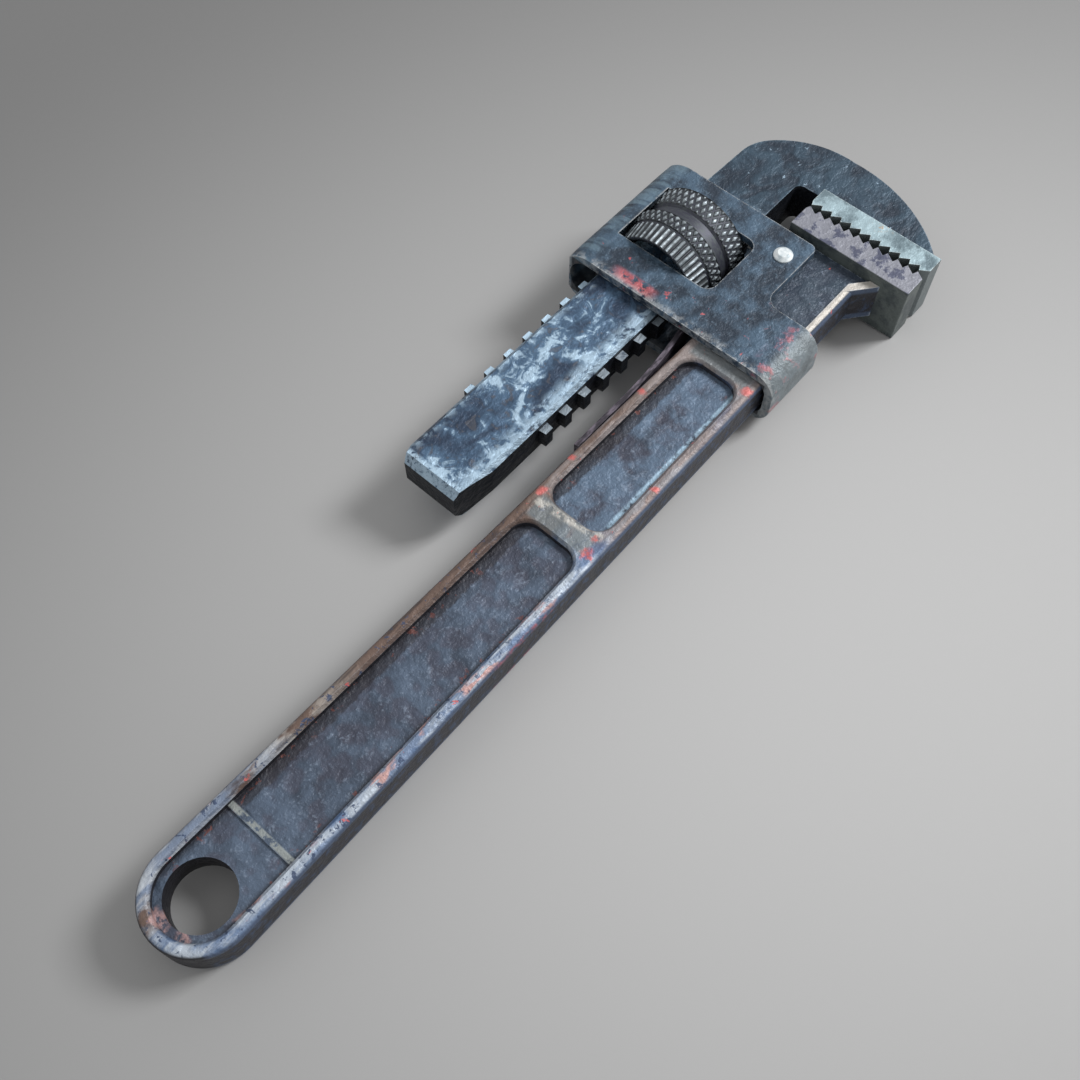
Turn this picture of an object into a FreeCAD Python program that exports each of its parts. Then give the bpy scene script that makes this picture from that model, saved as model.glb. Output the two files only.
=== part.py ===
"""Adjustable pipe wrench, built as separate pieces in millimetres.

Origin: centre of the hang hole, on the middle plane of the handle.
+X runs up the handle to the jaws, +Y towards the hook jaw's shank, +Z is a face of the tool.
"""
import FreeCAD, Part
import math
import os

import Sketcher

Vector = FreeCAD.Vector
document = FreeCAD.newDocument("PipeWrench")
sheet = document.addObject("Spreadsheet::Sheet", "Dims")

driving = {
    # handle
    "hole_radius": 10.0,
    "end_radius": 16.4,
    "grip_length": 222.6,
    "neck_half_width": 14.3,
    "handle_thickness": 15.0,
    "panel_depth": 3.0,
    "rim_width": 4.0,
    "rim_round": 2.0,
    "rim_bevel": 1.0,
    "panel_round": 6.0,
    "rib_x": 138.5,
    "rib_width": 9.0,
    "top_bar": 5.3,
    "low_bar_x": 20.5,
    "low_bar_width": 2.2,
    "low_bar_height": 0.6,
    "boss_half_width": 17.0,
    "boss_reach": 14.0,
    "head_sink": 0.9,
    "head_rim": 2.8,
    "flare_depth": 20.0,
    "flare_length": 7.0,
    # housing
    "housing_length": 54.6,
    "housing_wall": 3.0,
    "collar_length": 24.9,
    "collar_gap": 1.7,
    "collar_round": 8.0,
    "back_gap": 4.6,
    "back_bulge": 2.6,
    "plate_clearance": 0.5,
    "ear_edge": 3.6,
    "ear_round": 2.5,
    "ear_hollow": 5.0,
    "pivot_from_top": 10.2,
    "pivot_side": 10.5,
    "pivot_radius": 2.4,
    "pivot_head_radius": 3.3,
    "pivot_head_height": 1.6,
    # nut and its window
    "window_start": 16.0,
    "window_length": 26.8,
    "window_edge": 19.5,
    "window_round": 4.0,
    "nut_radius": 18.8,
    "nut_bore": 14.1,
    "nut_groove": 17.1,
    "nut_clearance": 0.6,
    "nut_nose_drop": 2.5,
    "nut_ring_drop": 1.0,
    "end_play": 0.3,
    # hook jaw
    "shank_side": 41.7,
    "shank_width": 25.4,
    "shank_thickness": 13.8,
    "shank_below": 93.7,
    "shank_bevel": 1.5,
    "shank_end_bevel": 2.4,
    "near_trim_length": 15.0,
    "near_trim": 2.2,
    "far_trim_length": 5.5,
    "far_trim": 2.5,
    "tooth_lead": 9.3,
    "tooth_phase": 8.0,
    "tooth_flank": 0.35,
    "tooth_width": 4.0,
    "tooth_height": 2.6,
    "tooth_depth": 7.0,
    "thread_major": 16.0,
    "thread_play": 0.6,
    "thread_flank": 0.15,
    "hook_thickness": 15.0,
    "hook_reach": 20.8,
    "hook_gap": 2.4,
    "tip_lift": 2.5,
    "nose_ledge": 3.5,
    "nose_lift": 3.8,
    "nose_radius": 58.0,
    "crown_drop": 24.0,
    "crown_radius": 36.0,
    "shoulder_drop": 3.6,
    "shoulder_round": 16.0,
    "neck_drop": 2.8,
    "throat_round": 3.0,
    # jaws
    "head_gap": 2.8,
    "jaw_width": 46.9,
    "jaw_back": 16.9,
    "jaw_thickness": 23.5,
    "heel_length": 10.4,
    "insert_length": 8.7,
    "bite_depth": 2.0,
    "bite_gap": 0.5,
    "throat_gap": 10.0,
    "fit_gap": 0.05,
    "tenon_length": 7.0,
    "tenon_width": 12.0,
    "tenon_thickness": 7.0,
    "tenon_wall": 3.7,
    "heel_pin_radius": 1.5,
    "rivet_radius": 2.4,
    "rivet_bite": 8.0,
    # leaf spring
    "spring_x": 168.0,
    "spring_flat": 22.0,
    "spring_sweep": 14.0,
    "spring_bend": 190.0,
    "spring_thickness": 1.6,
    "spring_width": 11.2,
    "spring_seat": 0.3,
    "spring_rivet": 1.6,
    "spring_rivet_depth": 6.0,
    "spring_rivet_margin": 4.0,
    "spring_rivet_pitch": 10.0,
}
hook_tooth_count = 13
teeth_below = 9
bite_count = 12

for row, (alias, size) in enumerate(driving.items(), 1):
    sheet.set(f"A{row}", alias)
    sheet.set(f"B{row}", str(size))
    sheet.setAlias(f"B{row}", alias)
document.recompute()


class Size:
    """A number that also knows the sheet expression it comes from."""

    def __init__(self, value, text):
        self.value = value
        self.text = text

    def __add__(self, other):
        other = sized(other)
        return Size(self.value + other.value, f"({self.text} + {other.text})")

    def __sub__(self, other):
        other = sized(other)
        return Size(self.value - other.value, f"({self.text} - {other.text})")

    def __mul__(self, other):
        other = sized(other)
        return Size(self.value * other.value, f"({self.text} * {other.text})")

    def __truediv__(self, other):
        other = sized(other)
        return Size(self.value / other.value, f"({self.text} / {other.text})")

    def __neg__(self):
        return Size(-self.value, f"(-1 * {self.text})")

    def __radd__(self, other):
        return sized(other) + self

    def __rsub__(self, other):
        return sized(other) - self

    def __rmul__(self, other):
        return sized(other) * self


def sized(number):
    return number if isinstance(number, Size) else Size(float(number), str(number))


def cell(alias):
    return Size(float(sheet.get(alias)), f"Dims.{alias}")


def sine(degrees):
    return Size(math.sin(math.radians(degrees.value)), f"sin({degrees.text})")


def cosine(degrees):
    return Size(math.cos(math.radians(degrees.value)), f"cos({degrees.text})")


def bind(item, prop, size):
    item.setExpression(prop, sized(size).text)


def place(item, x, y, z):
    for axis, size in zip("xyz", (x, y, z)):
        bind(item, f"Placement.Base.{axis}", size)


# Stations along the tool, shared by every piece that meets there.
handle_half = cell("handle_thickness") / 2
housing_start = cell("grip_length")
housing_end = housing_start + cell("housing_length")
heel_start = housing_end + cell("head_gap")
bite_line = heel_start + cell("heel_length")
insert_start = bite_line + cell("bite_gap")
insert_end = insert_start + cell("insert_length")
hook_start = housing_end + cell("hook_gap")
hook_end = insert_end + cell("hook_reach")
pivot_x = housing_end - cell("pivot_from_top")
pivot_y = cell("pivot_side")
jaw_front = cell("jaw_back") - cell("jaw_width")
throat_wall = cell("jaw_back") + cell("throat_gap")

shank_half = cell("shank_width") / 2
shank_near = cell("shank_side") - shank_half
shank_far = cell("shank_side") + shank_half
shoulder_x = hook_start + (hook_end - hook_start) * 0.6
shoulder_y = shank_far - cell("shoulder_drop")
window_x = housing_start + cell("window_start")
nut_x = window_x + cell("end_play")
nut_length = cell("window_length") - cell("end_play") * 2

inner_half = handle_half + cell("plate_clearance")
outer_half = inner_half + cell("housing_wall")
collar_inner = -cell("neck_half_width") - cell("collar_gap")
collar_outer = collar_inner - cell("housing_wall")
back_inner = cell("shank_side") + cell("nut_radius") + cell("back_gap")
back_centre = back_inner - inner_half

# Places of the hidden fasteners and the thread.
tenon_low = pivot_y - cell("pivot_radius") - cell("tenon_wall") - cell("tenon_width")
heel_pin_x = heel_start - cell("tenon_length") / 2
heel_pin_length = cell("boss_half_width") - tenon_low + 2
spring_rivet_x = cell("spring_x") + cell("spring_rivet_margin")
spring_rivet_stations = [spring_rivet_x, spring_rivet_x + cell("spring_rivet_pitch")]
grip_slope = (cell("end_radius") - cell("neck_half_width")) / cell("grip_length")
spring_face = cell("end_radius") - grip_slope * cell("spring_x") + cell("spring_seat")
insert_rivet_stations = [jaw_front + cell("jaw_width") * share for share in (0.3, 0.75)]
shank_end = housing_start - cell("shank_below")
first_tooth_x = window_x + cell("tooth_phase") - cell("tooth_lead") * teeth_below


def start_body(name):
    body = document.addObject("PartDesign::Body", name)
    body.Label = name
    return body


def base_plane(body, role):
    return [feature for feature in body.Origin.OriginFeatures if feature.Role == role][0]


def start_sketch(body, name, role="XY_Plane", offset=None):
    sketch = body.newObject("Sketcher::SketchObject", name)
    sketch.AttachmentSupport = (base_plane(body, role), [""])
    sketch.MapMode = "FlatFace"
    if offset is not None:
        bind(sketch, "AttachmentOffset.Base.z", offset)
    return sketch


def fix_point(sketch, edge, end, x, y):
    """Holds one end of an edge at x, y from the sketch's origin."""
    for kind, size in (("DistanceX", x), ("DistanceY", y)):
        number = sketch.addConstraint(Sketcher.Constraint(kind, -1, 1, edge, end, size.value))
        bind(sketch, f"Constraints[{number}]", size)


def arc_between(start, end, radius, hollow):
    """The short arc from start to end; hollow puts its centre on the right of the way."""
    if radius == "half":
        radius = (end - start).Length / 2
    chord = end - start
    half = chord.Length / 2
    rise = math.sqrt(max(radius * radius - half * half, 0.0))
    left = Vector(-chord.y, chord.x, 0).normalize()
    centre = start + chord * 0.5 + left * (-rise if hollow else rise)
    first, last = (end, start) if hollow else (start, end)
    angles = [math.atan2(point.y - centre.y, point.x - centre.x) for point in (first, last)]
    return Part.ArcOfCircle(Part.Circle(centre, Vector(0, 0, 1), radius), angles[0], angles[1])


def hold_radius(sketch, edge, corner):
    """Holds an arc's radius, or the centre of a half circle beside its ends."""
    if corner[2] == "half":
        rule = Sketcher.Constraint("DistanceX", -1, 1, edge, 3, corner[0].value)
        size = corner[0]
    else:
        rule = Sketcher.Constraint("Radius", edge, corner[2].value)
        size = corner[2]
    number = sketch.addConstraint(rule)
    bind(sketch, f"Constraints[{number}]", size)


def draw_profile(sketch, corners):
    """A closed outline, anticlockwise. A corner is (x, y), or (x, y, radius[, "hollow"]) for an arc
    from it to the next one. The radius "half" makes an upright half circle."""
    corners = [(sized(corner[0]), sized(corner[1])) + tuple(corner[2:]) for corner in corners]
    starts = []
    for index, corner in enumerate(corners):
        follower = corners[(index + 1) % len(corners)]
        start = Vector(corner[0].value, corner[1].value, 0)
        end = Vector(follower[0].value, follower[1].value, 0)
        if len(corner) == 2:
            edge = sketch.addGeometry(Part.LineSegment(start, end))
            starts.append((edge, 1, 2))
            continue
        hollow = len(corner) == 4
        radius = corner[2] if corner[2] == "half" else corner[2].value
        edge = sketch.addGeometry(arc_between(start, end, radius, hollow))
        starts.append((edge, 2, 1) if hollow else (edge, 1, 2))
    for index, (edge, first, last) in enumerate(starts):
        following = starts[(index + 1) % len(starts)]
        sketch.addConstraint(Sketcher.Constraint("Coincident", edge, last, following[0], following[1]))
        fix_point(sketch, edge, first, corners[index][0], corners[index][1])
        if len(corners[index]) > 2:
            hold_radius(sketch, edge, corners[index])


def draw_circle(sketch, x, y, radius):
    x, y = sized(x), sized(y)
    circle = Part.Circle(Vector(x.value, y.value, 0), Vector(0, 0, 1), radius.value)
    edge = sketch.addGeometry(circle)
    fix_point(sketch, edge, 3, x, y)
    number = sketch.addConstraint(Sketcher.Constraint("Radius", edge, radius.value))
    bind(sketch, f"Constraints[{number}]", radius)


def box_corners(x0, y0, x1, y1):
    return [(x0, y0), (x1, y0), (x1, y1), (x0, y1)]


def pad(body, sketch, length, both_ways=True, backwards=False):
    feature = body.newObject("PartDesign::Pad", f"{sketch.Name}Pad")
    feature.Profile = sketch
    bind(feature, "Length", length)
    feature.SideType = "Symmetric" if both_ways else "One side"
    feature.Reversed = backwards
    document.recompute()
    return feature


def pocket(body, sketch, length, both_ways=True, backwards=False):
    """Cuts the sketch out of the body and makes sure that it took something away."""
    before = body.Shape.Volume
    feature = body.newObject("PartDesign::Pocket", f"{sketch.Name}Pocket")
    feature.Profile = sketch
    bind(feature, "Length", length)
    feature.SideType = "Symmetric" if both_ways else "One side"
    feature.Reversed = backwards
    document.recompute()
    if body.Shape.Volume > before - 1e-3:
        raise RuntimeError(f"{feature.Name} cuts nothing")
    return feature


def mirror_faces(body, originals, name):
    """Repeats features on the other face of the tool."""
    feature = body.newObject("PartDesign::Mirrored", name)
    feature.Originals = originals
    feature.MirrorPlane = (base_plane(body, "XY_Plane"), [""])
    body.Tip = feature
    document.recompute()
    return feature


def soften(body, name, kind, size, wanted):
    """Rounds (Fillet) or bevels (Chamfer) the edges that wanted() picks."""
    tip = body.Tip
    names = [f"Edge{i}" for i, edge in enumerate(tip.Shape.Edges, 1) if wanted(edge)]
    if not names:
        raise RuntimeError(f"{name} finds no edge")
    feature = body.newObject(f"PartDesign::{kind}", name)
    feature.Base = (tip, names)
    bind(feature, "Radius" if kind == "Fillet" else "Size", size)
    document.recompute()
    return feature


def near(value, target, slack=0.02):
    return abs(value - target) < slack


def upright_at(*spots):
    """Picks edges along Z that stand at one of the (x, y) spots."""
    def wanted(edge):
        box = edge.BoundBox
        upright = box.XLength < 0.01 and box.YLength < 0.01 and box.ZLength > 0.5
        return upright and any(near(box.XMin, x) and near(box.YMin, y) for x, y in spots)
    return wanted


def flat_at(height, low_x=-1e9, high_x=1e9):
    """Picks edges that lie at +height or -height between two stations."""
    def wanted(edge):
        box = edge.BoundBox
        level = box.ZLength < 0.01 and near(abs(box.ZMin), height)
        return level and box.XMin > low_x and box.XMax < high_x
    return wanted


def panel_half(x):
    """Half width of the sunk panel at a station of the tapered grip."""
    return cell("end_radius") - grip_slope * x - cell("rim_width")


def handle_outline(body):
    disc = start_sketch(body, "HandleEnd")
    draw_circle(disc, 0, 0, cell("end_radius"))
    pad(body, disc, cell("handle_thickness"))
    bar = start_sketch(body, "HandleBar")
    neck = cell("neck_half_width")
    boss_x = pivot_x - cell("boss_reach")
    draw_profile(bar, [
        (0, -cell("end_radius")),
        (housing_start, -neck),
        (heel_start - cell("flare_length"), -neck),
        (heel_start, -cell("flare_depth")),
        (heel_start, cell("boss_half_width")),
        (boss_x, cell("boss_half_width")),
        (boss_x - cell("boss_reach"), neck),
        (housing_start, neck),
        (0, cell("end_radius")),
    ])
    pad(body, bar, cell("handle_thickness"))
    soften(body, "HandleRounding", "Fillet", cell("rim_round"),
           flat_at(handle_half.value, high_x=heel_start.value - 0.5))


def sink_panels(body):
    """The two sunk panels of a face, and the rib between them."""
    eye = sized(0)
    lower = start_sketch(body, "LowerPanel", offset=handle_half)
    w0, w1 = panel_half(eye), panel_half(cell("rib_x"))
    draw_profile(lower, [(eye, -w0), (cell("rib_x"), -w1), (cell("rib_x"), w1), (eye, w0, "half")])
    low_cut = pocket(body, lower, cell("panel_depth"), both_ways=False)
    x0 = cell("rib_x") + cell("rib_width")
    x1 = housing_start - cell("top_bar")
    w2, w3 = panel_half(x0), panel_half(x1)
    upper = start_sketch(body, "UpperPanel", offset=handle_half)
    draw_profile(upper, [(x0, -w2), (x1, -w3), (x1, w3), (x0, w2)])
    top_cut = pocket(body, upper, cell("panel_depth"), both_ways=False)
    mirror_faces(body, [low_cut, top_cut], "PanelsBehind")
    corners = [(cell("rib_x"), w1), (x0, w2), (x1, w3)]
    spots = [(x.value, side * w.value) for x, w in corners for side in (-1, 1)]
    soften(body, "PanelCorners", "Fillet", cell("panel_round"), upright_at(*spots))
    soften(body, "PanelRims", "Chamfer", cell("rim_bevel"), panel_rim)


def panel_rim(edge):
    """Picks the upper edges of the sunk panels, which lie inside the rim."""
    box = edge.BoundBox
    level = box.ZLength < 0.01 and near(abs(box.ZMin), handle_half.value)
    widest = panel_half(sized(0)).value + 0.01
    across = max(abs(box.YMin), abs(box.YMax)) < widest
    return level and across and box.XMax < housing_start.value - 1


def sink_head(body):
    """The shallow web of the head, inside a rim that follows the flare."""
    web = start_sketch(body, "HeadWeb", offset=handle_half)
    rim = cell("head_rim")
    low = rim - cell("neck_half_width")
    high = cell("boss_half_width") - rim
    draw_profile(web, [
        (housing_start + rim, low),
        (heel_start - cell("flare_length") + rim / 2, low),
        (heel_start + 1, rim - cell("flare_depth")),
        (heel_start + 1, high),
        (pivot_x - cell("boss_reach"), high),
        (housing_start + rim, -low),
    ])
    cut = pocket(body, web, cell("head_sink"), both_ways=False)
    mirror_faces(body, [cut], "WebBehind")


def add_low_bar(body):
    """The low bar across the lower panel beside the hang hole."""
    bar = start_sketch(body, "LowBar")
    reach = panel_half(cell("low_bar_x")) + cell("rim_bevel") / 2
    x = cell("low_bar_x")
    draw_profile(bar, box_corners(x, -reach, x + cell("low_bar_width"), reach))
    floor = cell("handle_thickness") - cell("panel_depth") * 2
    pad(body, bar, floor + cell("low_bar_height") * 2)


def drill_handle(body):
    hang = start_sketch(body, "HangHole")
    draw_circle(hang, 0, 0, cell("hole_radius"))
    pocket(body, hang, cell("handle_thickness") * 2)
    pivot = start_sketch(body, "PivotHole")
    draw_circle(pivot, pivot_x, pivot_y, cell("pivot_radius") + cell("fit_gap"))
    pocket(body, pivot, cell("handle_thickness") * 2)
    slot = start_sketch(body, "TenonSlot")
    gap = cell("fit_gap")
    draw_profile(slot, box_corners(heel_start - cell("tenon_length") - gap, tenon_low - gap,
                                   heel_start + 1, tenon_low + cell("tenon_width") + gap))
    pocket(body, slot, cell("tenon_thickness") + gap * 2)
    pin = start_sketch(body, "HeelPinHole", "XZ_Plane", -cell("boss_half_width") - 1)
    draw_circle(pin, heel_pin_x, 0, cell("heel_pin_radius") + gap)
    pocket(body, pin, heel_pin_length + 1, both_ways=False, backwards=True)
    for number, x in enumerate(spring_rivet_stations, 1):
        hole = start_sketch(body, f"SpringRivetHole{number}", "XZ_Plane", -spring_face - 1)
        draw_circle(hole, x, 0, cell("spring_rivet") + gap)
        pocket(body, hole, cell("spring_rivet_depth") + 1, both_ways=False, backwards=True)


def build_handle():
    body = start_body("handle")
    handle_outline(body)
    sink_panels(body)
    sink_head(body)
    add_low_bar(body)
    drill_handle(body)
    return body


def bite_corners(x, direction, backwards):
    """Points of a row of saw teeth along Y, with crests at x and roots behind them."""
    pitch = cell("jaw_width") / bite_count
    corners = []
    for index in range(bite_count):
        low = jaw_front + pitch * index
        corners.append((x + cell("bite_depth") * direction, low))
        corners.append((x, low + pitch * 0.8))
    corners.append((x + cell("bite_depth") * direction, cell("jaw_back")))
    return corners[::-1] if backwards else corners


def build_heel_jaw():
    body = start_body("heel_jaw")
    block = start_sketch(body, "HeelBlock")
    draw_profile(block, bite_corners(bite_line, -1, False)
                 + [(heel_start, cell("jaw_back")), (heel_start, jaw_front)])
    pad(body, block, cell("jaw_thickness"))
    tenon = start_sketch(body, "HeelTenon")
    draw_profile(tenon, box_corners(heel_start - cell("tenon_length"), tenon_low,
                                    heel_start + 1, tenon_low + cell("tenon_width")))
    pad(body, tenon, cell("tenon_thickness"))
    hole = start_sketch(body, "HeelJawPinHole", "XZ_Plane")
    draw_circle(hole, heel_pin_x, 0, cell("heel_pin_radius") + cell("fit_gap"))
    pocket(body, hole, cell("jaw_width") * 2)
    return body


def build_heel_pin():
    pin = document.addObject("Part::Cylinder", "heel_jaw_pin")
    bind(pin, "Radius", cell("heel_pin_radius"))
    bind(pin, "Height", heel_pin_length)
    pin.Placement = FreeCAD.Placement(Vector(), FreeCAD.Rotation(Vector(1, 0, 0), 90))
    place(pin, heel_pin_x, cell("boss_half_width"), 0)
    return pin


def hook_corners():
    """The hook's outline beyond the shank: the throat, the nose, the crown and the shoulder."""
    lead = cell("throat_round")
    return [
        (hook_start - 2, throat_wall + lead),
        (hook_start, throat_wall),
        (insert_end, throat_wall),
        (insert_end, jaw_front + cell("tip_lift")),
        (insert_end + cell("nose_ledge"), jaw_front + cell("nose_lift"), cell("nose_radius")),
        (hook_end, cell("shank_side") - cell("crown_drop"), cell("crown_radius")),
        (shoulder_x, shoulder_y),
        (hook_start, shank_far - cell("neck_drop")),
        (hook_start - 2, shank_far - cell("neck_drop")),
    ]


def build_hook_jaw():
    body = start_body("hook_jaw")
    hook = start_sketch(body, "Hook")
    draw_profile(hook, hook_corners())
    pad(body, hook, cell("hook_thickness"))
    soften(body, "ThroatCorner", "Fillet", cell("throat_round"),
           upright_at((insert_end.value, throat_wall.value)))
    soften(body, "Shoulder", "Fillet", cell("shoulder_round"),
           upright_at((shoulder_x.value, shoulder_y.value)))
    add_shank(body)
    add_teeth(body)
    for number, y in enumerate(insert_rivet_stations, 1):
        hole = start_sketch(body, f"InsertRivetHole{number}", "YZ_Plane", insert_end)
        draw_circle(hole, y, 0, cell("rivet_radius") + cell("fit_gap"))
        pocket(body, hole, cell("rivet_bite"), both_ways=False, backwards=True)
    return body


def add_shank(body):
    """The flat shank with bevelled long edges and trimmed corners at its free end."""
    shank = start_sketch(body, "Shank", "YZ_Plane", shank_end)
    half = cell("shank_thickness") / 2
    bevel = cell("shank_bevel")
    draw_profile(shank, [
        (shank_near + bevel, -half),
        (shank_far - bevel, -half),
        (shank_far, bevel - half),
        (shank_far, half - bevel),
        (shank_far - bevel, half),
        (shank_near + bevel, half),
        (shank_near, half - bevel),
        (shank_near, bevel - half),
    ])
    pad(body, shank, hook_start - shank_end, both_ways=False)
    trims = {
        "NearEndTrim": (shank_near, cell("near_trim"), cell("near_trim_length"), -1),
        "FarEndTrim": (shank_far, cell("far_trim"), cell("far_trim_length"), 1),
    }
    for name, (side, depth, length, way) in trims.items():
        trim = start_sketch(body, name)
        corners = [
            (shank_end - 1, side - depth * way),
            (shank_end, side - depth * way),
            (shank_end + length, side),
            (shank_end + length, side + way),
            (shank_end - 1, side + way),
        ]
        draw_profile(trim, corners if way > 0 else corners[::-1])
        pocket(body, trim, cell("shank_thickness") * 2)
    bevel = cell("shank_end_bevel")
    for name, way in (("TopEndBevel", 1), ("LowEndBevel", -1)):
        wedge = start_sketch(body, name, "XZ_Plane")
        corners = [
            (shank_end - 1, (half - bevel) * way),
            (shank_end, (half - bevel) * way),
            (shank_end + bevel, half * way),
            (shank_end + bevel, (half + 1) * way),
            (shank_end - 1, (half + 1) * way),
        ]
        draw_profile(wedge, corners if way > 0 else corners[::-1])
        pocket(body, wedge, (shank_far + bevel) * 2)


def add_teeth(body):
    """A row of rack teeth on each edge of the shank, half a lead apart like a cut thread."""
    root = cell("tooth_width") / 2
    crest = root - cell("tooth_flank")
    for side, name in ((1, "FarTooth"), (-1, "NearTooth")):
        x = first_tooth_x + (cell("tooth_lead") / 2 if side < 0 else 0)
        inner = cell("shank_side") + (shank_half - 0.5) * side
        outer = cell("shank_side") + (shank_half + cell("tooth_height")) * side
        corners = [(x - root, inner), (x + root, inner), (x + crest, outer), (x - crest, outer)]
        sketch = start_sketch(body, name)
        draw_profile(sketch, corners if side > 0 else corners[::-1])
        tooth = pad(body, sketch, cell("tooth_depth"))
        row = body.newObject("PartDesign::LinearPattern", name + "Row")
        row.Originals = [tooth]
        row.Direction = (base_plane(body, "X_Axis"), [""])
        row.Mode = "Spacing"
        bind(row, "Offset", cell("tooth_lead"))
        row.Occurrences = hook_tooth_count if side > 0 else hook_tooth_count - 1
        body.Tip = row
        document.recompute()


def build_insert():
    body = start_body("hook_jaw_insert")
    block = start_sketch(body, "InsertBlock")
    draw_profile(block, [(insert_end, jaw_front), (insert_end, cell("jaw_back"))]
                 + bite_corners(insert_start, 1, True))
    pad(body, block, cell("jaw_thickness"))
    for number, y in enumerate(insert_rivet_stations, 1):
        hole = start_sketch(body, f"InsertHole{number}", "YZ_Plane", insert_start)
        draw_circle(hole, y, 0, cell("rivet_radius") + cell("fit_gap"))
        pocket(body, hole, cell("jaw_width"))
    return body


def build_insert_rivets():
    rivets = []
    start = insert_start + cell("bite_depth") + 0.2
    for number, y in enumerate(insert_rivet_stations, 1):
        rivet = document.addObject("Part::Cylinder", f"InsertRivet{number}")
        bind(rivet, "Radius", cell("rivet_radius"))
        bind(rivet, "Height", insert_end + cell("rivet_bite") - start - cell("fit_gap"))
        rivet.Placement = FreeCAD.Placement(Vector(), FreeCAD.Rotation(Vector(0, 1, 0), 90))
        place(rivet, start, y, 0)
        rivets.append(rivet)
    return group(rivets, "hook_insert_rivets")


def group(items, name):
    """Alike fasteners kept together as one piece."""
    compound = document.addObject("Part::Compound", name)
    compound.Links = items
    return compound


def build_nut():
    """The knurled nut: two rings on a threaded sleeve, modelled along its own X axis."""
    body = start_body("adjusting_nut")
    profile = start_sketch(body, "NutProfile")
    ring = cell("nut_radius")
    low = cell("nut_groove")
    bore = cell("nut_bore")
    drop = cell("nut_ring_drop")
    end = nut_length
    draw_profile(profile, [
        (0, bore),
        (end, bore),
        (end, ring - drop),
        (end - drop, ring),
        (end * 0.69, ring - drop),
        (end * 0.66, low),
        (end * 0.49, low),
        (end * 0.475, ring),
        (end * 0.3, ring - drop),
        (end * 0.26, ring - drop * 1.5),
        (0, ring - cell("nut_nose_drop")),
    ])
    turn = body.newObject("PartDesign::Revolution", "NutTurned")
    turn.Profile = profile
    turn.ReferenceAxis = (profile, ["H_Axis"])
    turn.Angle = 360
    document.recompute()
    cut_thread(body)
    place(body, nut_x, cell("shank_side"), 0)
    return body


def cut_thread(body):
    """The coarse right-hand thread that takes the shank's teeth."""
    groove = start_sketch(body, "ThreadGroove")
    centre = cell("tooth_phase") - cell("end_play") - cell("tooth_lead") * 2
    wide = cell("tooth_width") / 2 + cell("thread_play")
    narrow = wide - cell("thread_flank")
    bottom = cell("nut_bore") - cell("thread_play")
    draw_profile(groove, [
        (centre - wide, bottom),
        (centre + wide, bottom),
        (centre + narrow, cell("thread_major")),
        (centre - narrow, cell("thread_major")),
    ])
    before = body.Shape.Volume
    thread = body.newObject("PartDesign::SubtractiveHelix", "Thread")
    thread.Profile = groove
    thread.ReferenceAxis = (groove, ["H_Axis"])
    thread.Mode = "pitch-height-angle"
    bind(thread, "Pitch", cell("tooth_lead"))
    bind(thread, "Height", nut_length + cell("tooth_lead") * 3)
    thread.LeftHanded = False
    document.recompute()
    if body.Shape.Volume > before - 100:
        raise RuntimeError("the thread cuts nothing")


def build_housing():
    body = start_body("housing")
    length = cell("housing_length")
    outer = start_sketch(body, "HousingOutside", "YZ_Plane", housing_start)
    corner = cell("collar_round")
    draw_profile(outer, [
        (back_centre, -outer_half, "half"),
        (back_centre, outer_half),
        (collar_outer + corner, outer_half, corner),
        (collar_outer, outer_half - corner),
        (collar_outer, corner - outer_half, corner),
        (collar_outer + corner, -outer_half),
    ])
    pad(body, outer, length, both_ways=False)
    inner = start_sketch(body, "HousingInside", "YZ_Plane", housing_start - 1)
    corner = cell("collar_round") - cell("housing_wall")
    draw_profile(inner, [
        (back_centre, -inner_half, "half"),
        (back_centre, inner_half),
        (collar_inner + corner, inner_half, corner),
        (collar_inner, inner_half - corner),
        (collar_inner, corner - inner_half, corner),
        (collar_inner + corner, -inner_half),
    ])
    pocket(body, inner, length + 2, both_ways=False, backwards=True)
    trim_back(body)
    trim_ears(body)
    cut_window(body)
    pin = start_sketch(body, "HousingPinHole")
    draw_circle(pin, pivot_x, pivot_y, cell("pivot_radius"))
    pocket(body, pin, outer_half * 4)
    return body


def trim_back(body):
    """Seen on its face, the back of the housing swells in the middle."""
    bulge = cell("back_bulge")
    half = cell("housing_length") / 2
    radius = (half * half + bulge * bulge) / (bulge * 2)
    outside = back_inner + cell("housing_wall")
    side = start_sketch(body, "BackTrim")
    draw_profile(side, [
        (housing_start - 1, outside - bulge),
        (housing_start, outside - bulge, radius, "hollow"),
        (housing_end, outside - bulge),
        (housing_end + 1, outside - bulge),
        (housing_end + 1, outside + bulge),
        (housing_start - 1, outside + bulge),
    ])
    pocket(body, side, outer_half * 4)


def trim_ears(body):
    """Beyond the collar only two ears stay, one on each face of the handle's head."""
    ears = start_sketch(body, "EarTrim")
    start = housing_start + cell("collar_length")
    draw_profile(ears, box_corners(start, collar_outer - 5, housing_end + 5, cell("ear_edge")))
    pocket(body, ears, outer_half * 4)
    soften(body, "EarHollow", "Fillet", cell("ear_hollow"),
           upright_at((start.value, cell("ear_edge").value)))
    soften(body, "EarTip", "Fillet", cell("ear_round"),
           upright_at((housing_end.value, cell("ear_edge").value)))


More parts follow.
